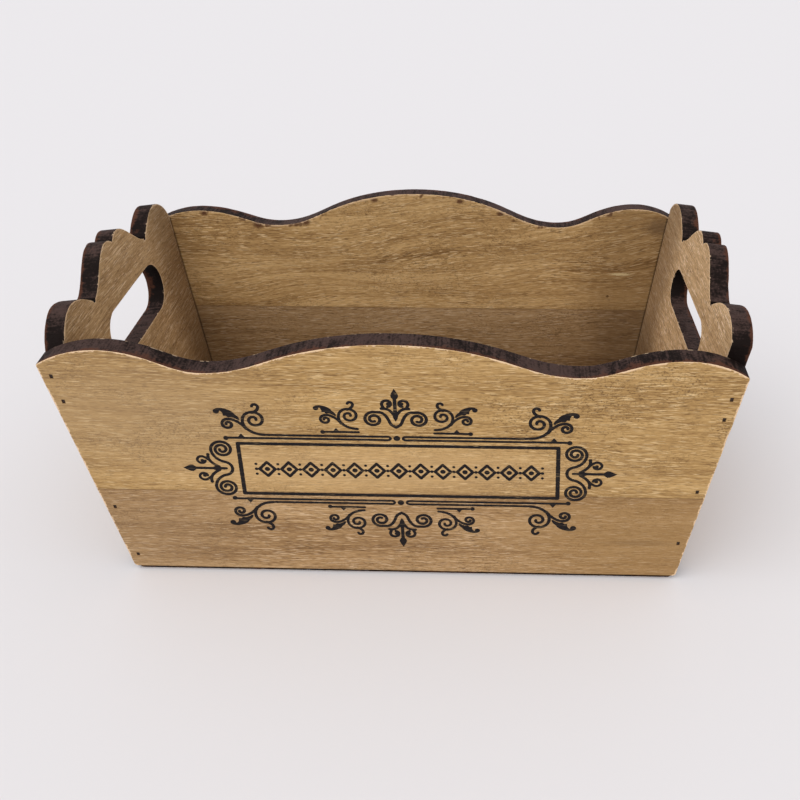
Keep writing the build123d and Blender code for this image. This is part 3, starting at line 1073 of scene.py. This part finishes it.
def wood_colour(graph, grain, tint=(1, 1, 1), dirt=0.5):
    """Colour of a brushed face from its grain. The tint is what this board's colours are multiplied by."""
    settings = bpy.context.scene.basket_wood
    dark, middle, light, fleck, pore = (
        tuple(part * share for part, share in zip(base, tint))
        for base in (settings.dark, settings.middle, settings.light, settings.fleck, settings.pore)
    )
    face = graph.mix(graph.ramp(grain["Tone"], *RANGES["dark"]), dark, middle)
    face = graph.mix(graph.ramp(grain["Tone"], *RANGES["light"]), face, light)
    face = graph.layer(face, grain["Flecks"], COVER["flecks"], fleck)
    face = graph.layer(face, grain["Pores"], COVER["pores"], pore)
    return graph.layer(face, grain["Dirt"], dirt, pore)


SEAM_LINE = (0.2 * MM, 0.9 * MM)
BRAD_LINE = (0.0, 0.5 * MM)
GRAIN_RELIEF = 0.22 * MM
SAW_RELIEF = 0.4 * MM
BUMP_STRENGTH = 0.8
WOOD_SHEEN = 0.08
WOOD_ROUGHNESS = (0.62, 0.78)


def burnt_colour(graph, cut):
    """Colour of a scorched cut: char with ashes on it and painted light on its upward-facing side, singed
    places and bare chips.
    """
    settings = bpy.context.scene.basket_wood
    # Ashes, with painted light greying the upward-facing side of the cut
    burnt = graph.layer(settings.char, cut["Ash"], COVER["ash_and_lit_top"], settings.ash_and_lit_top)
    burnt = graph.layer(burnt, cut["Singe"], COVER["singe"], settings.singe)
    return graph.layer(burnt, cut["Chips"], COVER["chips"], settings.rim)


def wood_relief(graph, grain, cut):
    """Normal with the fine relief of the brushed faces and of the saw marks in the cuts."""
    face_height = graph.math("MULTIPLY", grain["Height"], GRAIN_RELIEF)
    wall_height = graph.math("MULTIPLY", cut["Height"], graph.math("MULTIPLY", cut["Char"], SAW_RELIEF))
    height = graph.math("ADD", face_height, wall_height)
    bump = graph.add("ShaderNodeBump", {"Height": height, "Distance": 1.0, "Strength": BUMP_STRENGTH})
    return bump.outputs["Normal"]


def wood_material(name, seed, tint=(1, 1, 1), figure=0.3, slant=0.0, dirt=0.5, halo=0.5, rim=0.9, seam=0.3,
                  thickness=0.011, painted_shade=0.5, painted_shade_lean=0.0, spots=()):
    """Brushed wood with scorched cuts for one board.

    painted_shade is how dark the painted shade inside goes, and painted_shade_lean moves its lightest part
    along the board. Each spot is (middle, half size, softness, colour, strength).
    """
    settings = bpy.context.scene.basket_wood
    material, graph, shader = new_material(name)
    place = graph.attribute("board_place", "Vector")
    grain = use_group(graph, "Brushed grain", build_grain, Place=place, Seed=seed, Figure=figure, Slant=slant)
    cut = use_group(
        graph, "Scorched cut", build_scorch, Place=place, Cut_distance=graph.attribute("cut_distance"),
        Cut_wall=graph.attribute("cut_wall"), Cut_up=graph.attribute("cut_up"), Thickness=thickness,
        Seed=seed, Halo=halo)
    face = wood_colour(graph, grain, tint, dirt)
    for middle, half_size, softness, spot_colour, strength in spots:
        spot = use_group(
            graph, "Spot", build_spot, Place=place, Middle=middle, Half_size=half_size, Softness=softness)
        face = graph.layer(face, spot["Mask"], strength, spot_colour)
    # Painted shade inside the board, darker towards its foot and corners, then a dark line along the corner
    # joints
    dull = use_group(
        graph, "Inside painted shade and joint line", build_painted_shade, Place=place, Thickness=thickness,
        Corner_distance=graph.attribute("corner_distance"), Foot_distance=graph.attribute("foot_distance"),
        Lean=painted_shade_lean)
    face = graph.layer(face, dull["Broad"], painted_shade, settings.pore)
    face = graph.layer(face, dull["Line"], COVER["corner line"], settings.char)
    seam = graph.ramp(graph.attribute("seam_distance"), *SEAM_LINE, seam, 0.0)
    face = graph.mix(seam, face, settings.pore)
    ring = graph.ramp(graph.attribute("brad_distance"), *BRAD_LINE, COVER["brad line"], 0.0)
    face = graph.mix(ring, face, settings.char)
    # Pale line along the arris: rubbed bare wood with a painted highlight
    face = graph.layer(face, cut["Rim"], rim, settings.rim)
    face = graph.layer(face, cut["Halo"], COVER["halo"], settings.singe)
    graph.put(graph.mix(cut["Char"], face, burnt_colour(graph, cut)), shader.inputs["Base Color"])
    graph.put(graph.ramp(grain["Tone"], 0.0, 1.0, *WOOD_ROUGHNESS), shader.inputs["Roughness"])
    shader.inputs["Specular IOR Level"].default_value = WOOD_SHEEN
    graph.put(wood_relief(graph, grain, cut), shader.inputs["Normal"])
    return material


INK_THIN_PLACES = (0.012, 0.006, 0.01)
INK_ROUGHNESS = 0.65
INK_SHEEN = 0.1


def ink_material(name):
    """Printing ink, worn off in places down to the pale fibres of the wood."""
    settings = bpy.context.scene.basket_ornament
    material, graph, shader = new_material(name)
    place = graph.attribute("board_place", "Vector")
    grain = use_group(graph, "Brushed grain", build_grain, Place=place, Seed=1.3, Figure=0.3)
    thin = graph.noise(place, INK_THIN_PLACES, 2.0, 2, 0.6)
    worn = graph.math("MULTIPLY", grain["Flecks"], graph.ramp(thin, *RANGES["thin"], 0.03, 0.3))
    graph.put(graph.mix(worn, settings.ink, wood_colour(graph, grain)), shader.inputs["Base Color"])
    shader.inputs["Roughness"].default_value = INK_ROUGHNESS
    shader.inputs["Specular IOR Level"].default_value = INK_SHEEN
    return material


RUST_PATCHES = 0.7 * MM
STEEL_ROUGHNESS = 0.5
STEEL_METALLIC = (0.9, 0.2)


def steel_material(name):
    """Dull steel wire with spots of rust."""
    settings = bpy.context.scene.basket_brads
    material, graph, shader = new_material(name)
    place = graph.add("ShaderNodeTexCoord").outputs["Object"]
    patches = graph.noise(place, RUST_PATCHES, 0.0, 3, 0.6)
    rusty = graph.mix(graph.ramp(patches, *RANGES["rust"]), settings.steel, settings.rust)
    graph.put(rusty, shader.inputs["Base Color"])
    graph.put(graph.ramp(patches, *RANGES["dull"], *STEEL_METALLIC), shader.inputs["Metallic"])
    shader.inputs["Roughness"].default_value = STEEL_ROUGHNESS
    return material


def finish_board(board, material):
    board.data.materials.append(material)


INNER_FACE = 11 * MM
SIDES_JOIN_UP_TO = 141 * MM


def front_spot(along, up, half_along, half_up, spot_colour, strength):
    """A broad, very soft spot on the face of the front."""
    return (along, up, 0), (half_along, half_up, 0.02), 0.9, spot_colour, strength


def inner_spot(along, up, half_along, half_up, spot_colour, strength, softness=0.5, half_through=6 * MM):
    """A spot on the inner face of a board."""
    return (along, up, INNER_FACE), (half_along, half_up, half_through), softness, spot_colour, strength


def scorch_spots(singe):
    """Scorched spots under the rim of the back, each with its place along and up and its size."""
    places = (
        (0.145, 0.069, 0.0036), (0.1086, 0.0612, 0.0055), (0.076, 0.0632, 0.0045),
        (0.028, 0.0793, 0.0034), (-0.0295, 0.0786, 0.0034), (-0.057, 0.0705, 0.0036),
    )
    return [inner_spot(along, up, size, 0.7 * size, singe, 0.9, 0.8) for along, up, size in places]


class BASKET_OT_front_boards(Operator):
    """Dress the two edge-glued boards of the front"""
    bl_idname = "basket.front_boards"
    bl_label = "Front boards"

    def execute(self, context):
        upper = make_board("front_upper_dressed", "front_upper_board", FRONT, 1, ENDS)
        greyer = front_spot(-0.14, 0.055, 0.11, 0.06, (0.40, 0.27, 0.15), 0.45)
        paler = front_spot(-0.01, 0.016, 0.17, 0.028, (0.70, 0.46, 0.22), 0.5)
        finish_board(upper, wood_material(
            "Front upper wood", 1.3, tint=(1.05, 1.05, 1.07), figure=0.15, dirt=0.75, halo=0.1,
            spots=(greyer, paler)))
        lower = make_board("front_lower_dressed", "front_lower_board", FRONT, 2, ENDS)
        golden = front_spot(0.14, 0.03, 0.10, 0.07, (0.34, 0.195, 0.07), 0.6)
        darker = front_spot(-0.15, 0.03, 0.09, 0.07, (0.30, 0.19, 0.10), 0.35)
        streak = front_spot(0.137, 0.028, 0.03, 0.0035, (0.20, 0.115, 0.05), 0.4)
        finish_board(lower, wood_material(
            "Front lower wood", 8.7, tint=(0.95, 0.945, 1.12), figure=0.15, halo=0.1,
            spots=(golden, darker, streak)))
        return {"FINISHED"}


class BASKET_OT_back_boards(Operator):
    """Dress the two edge-glued boards of the back"""
    bl_idname = "basket.back_boards"
    bl_label = "Back boards"

    def execute(self, context):
        settings = context.scene.basket_wood
        splinter = inner_spot(-0.1415, 0.0274, 0.008, 0.0012, (1.0, 0.80, 0.44), 0.95)
        speck = inner_spot(-0.134, 0.0106, 0.0012, 0.0012, settings.pore, 0.8)
        # Painted shade near an end, high on the inner face of the back
        painted_end_shade = inner_spot(-0.166, 0.0615, 0.017, 0.009, (0.12, 0.08, 0.055), 0.55, 0.9, 0.02)
        upper = make_board("back_upper_dressed", "back_upper_board", BACK, 3, ENDS)
        finish_board(upper, wood_material(
            "Back upper wood", 4.1, tint=(1.04, 1.05, 1.12), figure=0.5, slant=0.08, halo=0.8, rim=0.5,
            painted_shade=0.6, painted_shade_lean=0.18, spots=(*scorch_spots(settings.singe), splinter, speck, painted_end_shade)))
        lower = make_board("back_lower_dressed", "back_lower_board", BACK, 4, ENDS)
        finish_board(lower, wood_material(
            "Back lower wood", 6.2, tint=(0.78, 0.80, 0.98), slant=0.04, halo=0.3, painted_shade=0.74,
            painted_shade_lean=0.12))
        return {"FINISHED"}


class BASKET_OT_end_boards(Operator):
    """Dress the two ends with their hand holes"""
    bl_idname = "basket.end_boards"
    bl_label = "End boards"

    def execute(self, context):
        joins = {"beside": LONG_SIDES, "sides_up_to": SIDES_JOIN_UP_TO}
        left = make_board("left_end_dressed", "left_end_board", LEFT, 5, **joins)
        # The ends' greyer tint is partly weathered wood and partly painted cool light from the side
        finish_board(left, wood_material(
            "Left end wood", 2.6, tint=(1.04, 1.09, 1.38), figure=0.15, halo=0.3, rim=0.45, seam=0.85,
            painted_shade=0.85, painted_shade_lean=0.2))
        right = make_board("right_end_dressed", "right_end_board", RIGHT, 6, **joins)
        shaded = inner_spot(0.055, 0.062, 0.06, 0.036, (0.12, 0.07, 0.035), 0.45, 0.9, 0.02)
        # The right end's brighter tint is painted light from the left on its inner face, over the greyer
        # weathered tone of both ends
        finish_board(right, wood_material(
            "Right end wood", 9.4, tint=(1.32, 1.41, 1.90), figure=0.15, halo=0.2, rim=0.45, seam=0.85,
            painted_shade=0.8, painted_shade_lean=-0.35, spots=(shaded,)))
        return {"FINISHED"}


class BASKET_OT_base_board(Operator):
    """Dress the thin base board under the walls"""
    bl_idname = "basket.base_board"
    bl_label = "Base board"

    def execute(self, context):
        base = make_board("base_dressed", "base_board", DOWN, 7, (*LONG_SIDES, *ENDS), joined=False)
        finish_board(base, wood_material(
            "Base wood", 5.5, tint=(0.8, 0.8, 0.9), thickness=0.003, seam=0.0, painted_shade=0.35))
        return {"FINISHED"}


class BASKET_OT_ornament(Operator):
    """Print the scroll ornament on the front"""
    bl_idname = "basket.ornament"
    bl_label = "Ornament"

    def execute(self, context):
        ornament = make_ornament("front_ornament")
        ornament.data.materials.append(ink_material("Printing ink"))
        return {"FINISHED"}


class BASKET_OT_brads(Operator):
    """Give the brads their dull steel"""
    bl_idname = "basket.brads"
    bl_label = "Brads"

    def execute(self, context):
        material = steel_material("Dull steel wire")
        for name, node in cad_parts.items():
            if name.endswith("_brads"):
                node.data.materials.clear()
                node.data.materials.append(material)
        return {"FINISHED"}


SENSOR_WIDTH = 36
LENS_SHIFT = (-0.0746, 0.0053)
NEAREST = 10 * MM
FLOOR_REACH = 12.0
# Name, way that the light comes from, apparent size in degrees and strength of each lamp
LAMPS = (
    ("Key", (-0.62, -0.62, 1.3), 55, 1.4),
    ("Fill", (0.5, -0.6, 1.2), 70, 0.5),
)


def make_camera(scene, settings):
    lens = bpy.data.cameras.new("Camera")
    lens.lens = settings.lens
    lens.sensor_width = SENSOR_WIDTH
    lens.shift_x, lens.shift_y = LENS_SHIFT
    lens.clip_start = NEAREST
    camera = bpy.data.objects.new("Camera", lens)
    place, target = Vector(settings.camera_place), Vector(settings.camera_target)
    camera.location = place
    camera.rotation_mode = "QUATERNION"
    aim = (target - place).to_track_quat("-Z", "Y")
    camera.rotation_quaternion = aim @ Quaternion((0, 0, 1), settings.camera_roll)
    scene.collection.objects.link(camera)
    scene.camera = camera


def make_floor(settings):
    mesh = bpy.data.meshes.new("Floor")
    corners = [(x * FLOOR_REACH, y * FLOOR_REACH, 0) for x, y in ((-1, -1), (1, -1), (1, 1), (-1, 1))]
    mesh.from_pydata(corners, [], [(0, 1, 2, 3)])
    floor = add_piece("Floor", mesh)
    material, _, shader = new_material("Floor paper")
    shader.inputs["Base Color"].default_value = (*settings.paper, 1)
    shader.inputs["Roughness"].default_value = 1.0
    shader.inputs["Specular IOR Level"].default_value = 0.0
    mesh.materials.append(material)


def make_light(scene, settings):
    world = bpy.data.worlds.new("Studio")
    scene.world = world
    world.use_nodes = True
    graph = Graph(world.node_tree)
    path = graph.add("ShaderNodeLightPath").outputs
    mirrored = graph.math("MAXIMUM", path["Is Glossy Ray"], path["Is Transmission Ray"])
    seen = graph.math("MAXIMUM", path["Is Camera Ray"], mirrored)
    background = world.node_tree.nodes["Background"]
    graph.put(graph.mix(seen, settings.room, settings.backdrop), background.inputs["Color"])
    for name, away, angle, strength in LAMPS:
        lamp = bpy.data.lights.new(name, "SUN")
        lamp.energy = strength
        lamp.angle = radians(angle)
        sun = bpy.data.objects.new(name, lamp)
        sun.location = away
        sun.rotation_mode = "QUATERNION"
        sun.rotation_quaternion = Vector(away).to_track_quat("Z", "Y")
        scene.collection.objects.link(sun)


class BASKET_OT_stage(Operator):
    """Set up the camera, the floor and the soft studio light"""
    bl_idname = "basket.stage"
    bl_label = "Stage"

    def execute(self, context):
        settings = context.scene.basket_stage
        context.scene.view_settings.view_transform = "Standard"
        make_camera(context.scene, settings)
        make_floor(settings)
        make_light(context.scene, settings)
        return {"FINISHED"}


OPERATORS = (
    BASKET_OT_front_boards,
    BASKET_OT_back_boards,
    BASKET_OT_end_boards,
    BASKET_OT_base_board,
    BASKET_OT_ornament,
    BASKET_OT_brads,
    BASKET_OT_stage,
)
SETTINGS = {
    "basket_boards": BoardSettings,
    "basket_wood": WoodSettings,
    "basket_brads": BradSettings,
    "basket_ornament": OrnamentSettings,
    "basket_stage": StageSettings,
}


class BASKET_PT_pieces(Panel):
    """Buttons for the basket's pieces"""
    bl_label = "Garden basket"
    bl_space_type = "VIEW_3D"
    bl_region_type = "UI"
    bl_category = "Basket"

    def draw(self, context):
        for operator in OPERATORS:
            self.layout.operator(operator.bl_idname)


def register():
    for name, settings in SETTINGS.items():
        bpy.utils.register_class(settings)
        setattr(bpy.types.Scene, name, PointerProperty(type=settings))
    for operator in OPERATORS:
        bpy.utils.register_class(operator)
    bpy.utils.register_class(BASKET_PT_pieces)


def unregister():
    bpy.utils.unregister_class(BASKET_PT_pieces)
    for operator in reversed(OPERATORS):
        bpy.utils.unregister_class(operator)
    for name, settings in reversed(SETTINGS.items()):
        delattr(bpy.types.Scene, name)
        bpy.utils.unregister_class(settings)


def main():
    register()
    bpy.ops.basket.front_boards()
    bpy.ops.basket.back_boards()
    bpy.ops.basket.end_boards()
    bpy.ops.basket.base_board()
    bpy.ops.basket.ornament()
    bpy.ops.basket.brads()
    bpy.ops.basket.stage()


if __name__ == "__main__":
    main()
